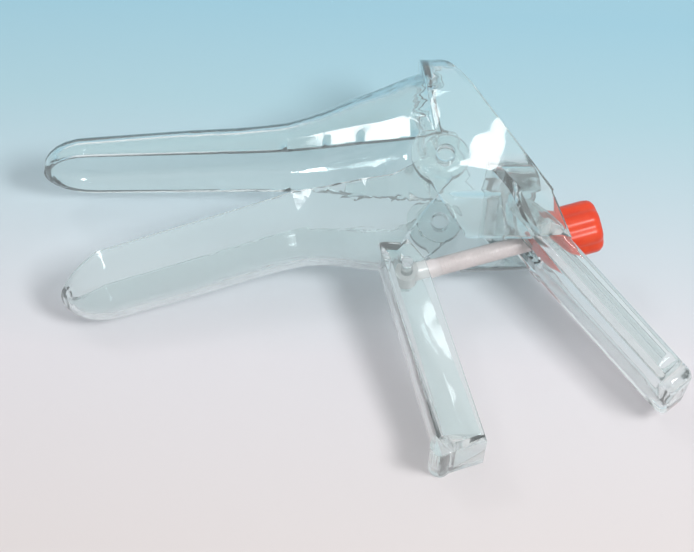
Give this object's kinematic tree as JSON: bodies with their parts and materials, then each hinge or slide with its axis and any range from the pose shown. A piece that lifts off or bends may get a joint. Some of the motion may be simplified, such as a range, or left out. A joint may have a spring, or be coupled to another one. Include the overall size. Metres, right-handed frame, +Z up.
{
  "type": "bivalve speculum",
  "caption": "Clear plastic bivalve speculum lying on its side, with hinged blades, a lever, a handle and a central screw with an orange nut that spreads the blades.",
  "frame": {"origin": "centre of the bounding box, on the floor the instrument lies on", "axes": "the instrument lies on its side: +X from the blade tips towards the handle end, +Y towards the crown of the upper blade, +Z up from the floor; the hinge axis leans 14 degrees from +Z"},
  "size_m": [0.1694, 0.1114, 0.0571],
  "materials": {
    "upper_valve": "clear polished",
    "lower_valve": "clear polished",
    "screw_rod": "clear",
    "screw_nut": "glossy",
    "pins": "clear"
  },
  "bodies": {
    "upper": {"upper_valve": "upper_valve", "pivot_pin_left": "pins", "pivot_pin_right": "pins"},
    "lower": {"lower_valve": "lower_valve", "rod_pin": "pins"},
    "rod": {"screw_rod": "screw_rod"},
    "nut": {"screw_nut": "screw_nut"}
  },
  "joints": [
    {"name": "blade_opening", "type": "hinge", "parent": "upper", "child": "lower", "pos_m": [0.02163, 0.02062, 0.02734], "axis": [-0.0867, -0.229, 0.9696], "range_deg": [-17, 12]},
    {"name": "rod_swing", "type": "hinge", "parent": "lower", "child": "rod", "pos_m": [0.01199, -0.00261, 0.02099], "axis": [-0.0867, -0.229, 0.9696], "range_deg": [-7.6, 10.6]},
    {"name": "nut_travel", "type": "slide", "parent": "rod", "child": "nut", "axis": [0.9568, 0.2519, 0.1451], "range_m": [-0.0044, 0.0062]}
  ],
  "couplings": [
    {"joint": "rod_swing", "follows": "blade_opening", "ratio": -0.615},
    {"joint": "nut_travel", "follows": "blade_opening", "m_per_rad": -0.02005}
  ]
}
